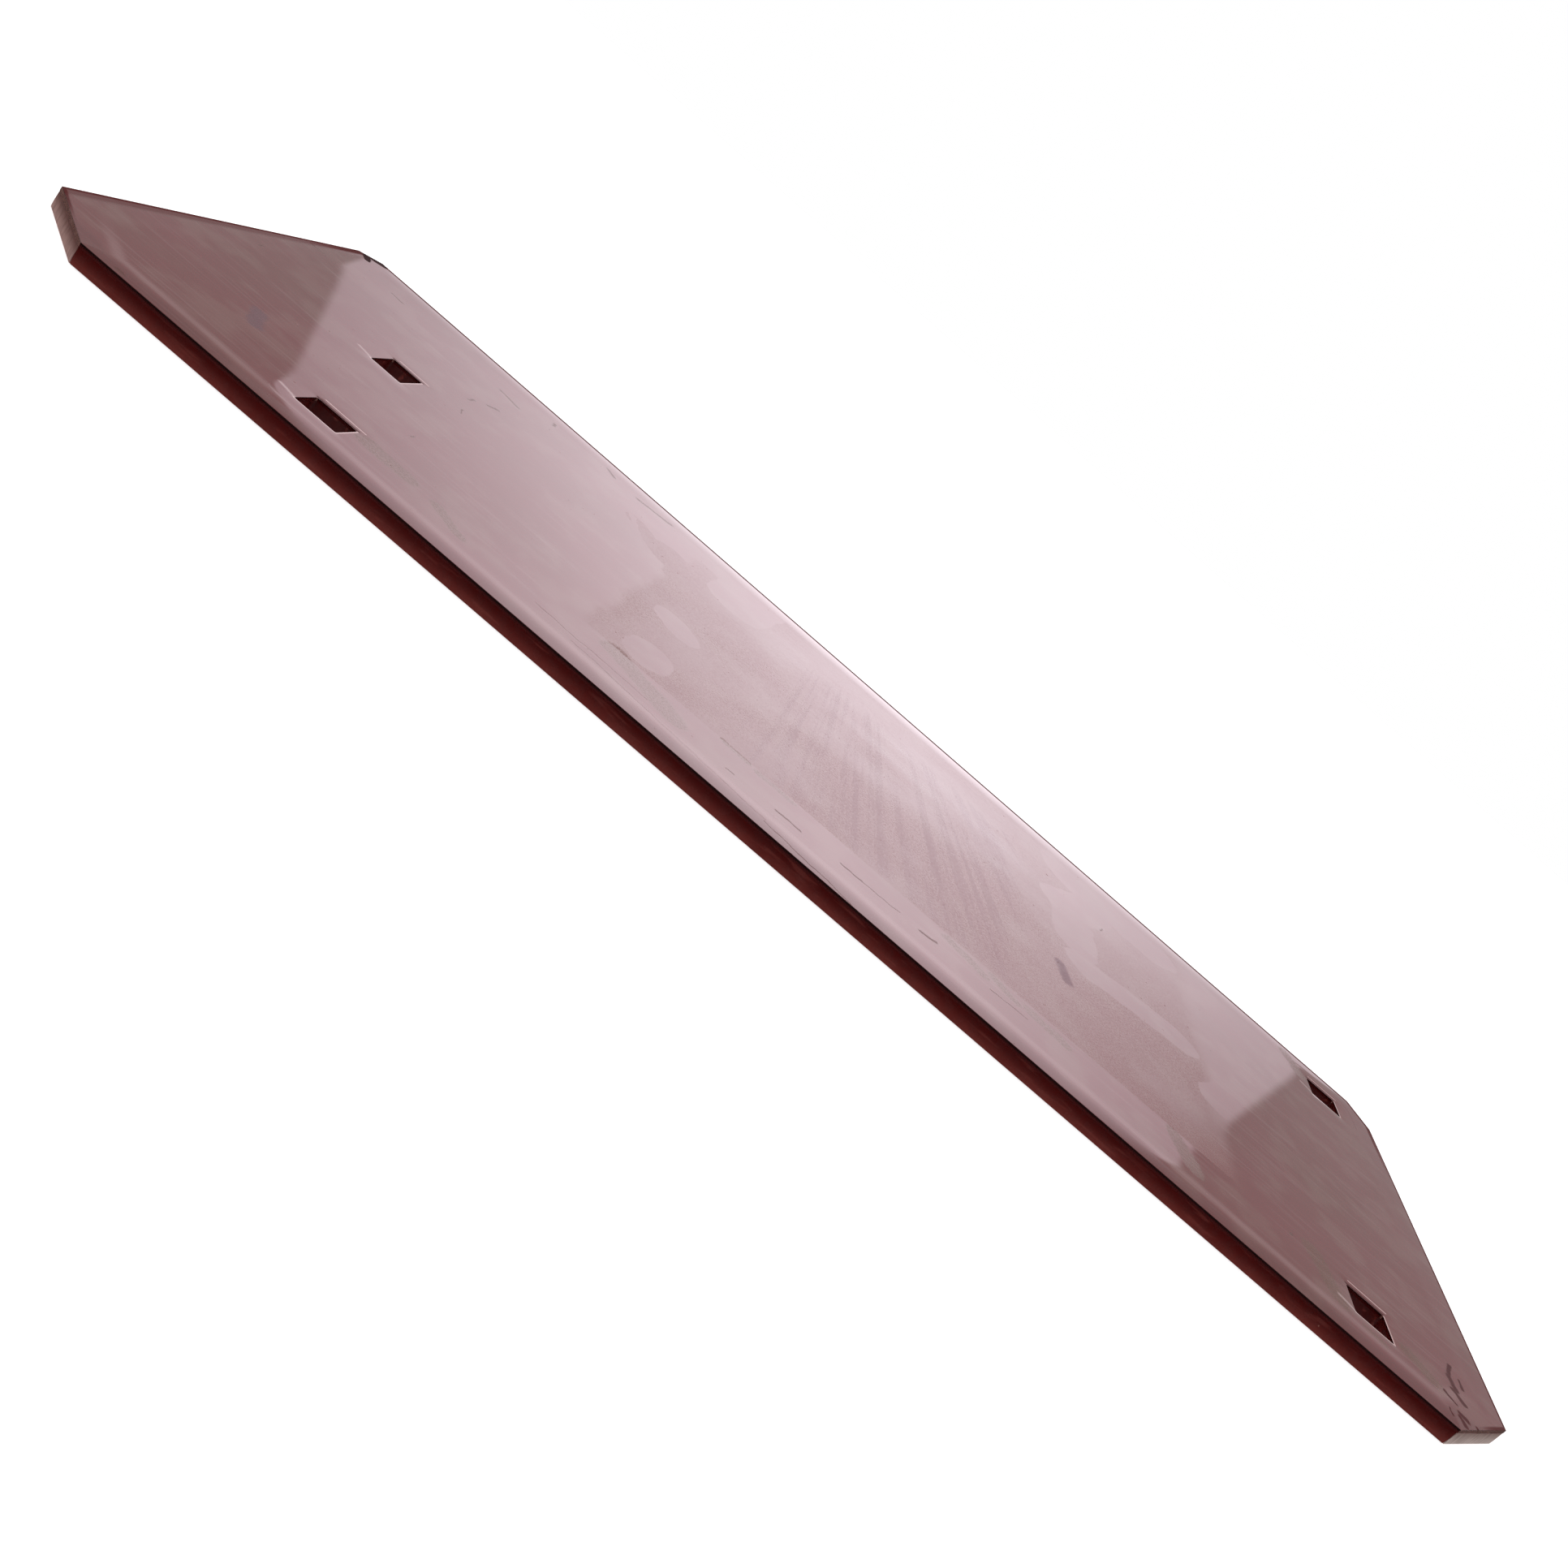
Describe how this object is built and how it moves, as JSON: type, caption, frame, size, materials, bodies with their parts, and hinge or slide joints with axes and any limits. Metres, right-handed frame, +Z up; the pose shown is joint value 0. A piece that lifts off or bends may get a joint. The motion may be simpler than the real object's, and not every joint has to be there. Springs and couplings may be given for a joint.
{
  "type": "scaffold plank",
  "caption": "Short, shallow bolt-down deck plank: painted sheet on a welded flat-bar frame with clipped corners, square bolt holes, cross stiffeners and a centre spine.",
  "frame": {"origin": "centre of the footprint, on the surface that the plank rests on", "axes": "+X along the plank, +Y across it towards the long edge with the small corner clips, +Z up out of the deck"},
  "size_m": [0.732, 0.32, 0.009],
  "materials": {
    "deck_paint": "glossy oxide-red paint, dusty and wiped",
    "frame_paint": "glossy oxide-red paint",
    "corner_finish": "thin paint over ground steel, streaked",
    "collar_paint": "oxide-red paint, thick in the corners",
    "underside_primer": "matt oxide-red primer"
  },
  "bodies": {
    "root": {"deck_sheet": "deck_paint", "near_rail": "frame_paint", "far_rail": "frame_paint", "left_end_rail": "frame_paint", "right_end_rail": "frame_paint", "near_left_corner_bar": "corner_finish", "near_right_corner_bar": "corner_finish", "far_left_corner_bar": "corner_finish", "far_right_corner_bar": "corner_finish", "bolt_collar_1": "collar_paint", "bolt_collar_2": "collar_paint", "bolt_collar_3": "collar_paint", "bolt_collar_4": "collar_paint", "cross_stiffener_1": "underside_primer", "cross_stiffener_2": "underside_primer", "cross_stiffener_3": "underside_primer", "spine_bar_1": "underside_primer", "spine_bar_2": "underside_primer", "spine_bar_3": "underside_primer", "spine_bar_4": "underside_primer", "spine_bar_5": "underside_primer"}
  },
  "joints": []
}
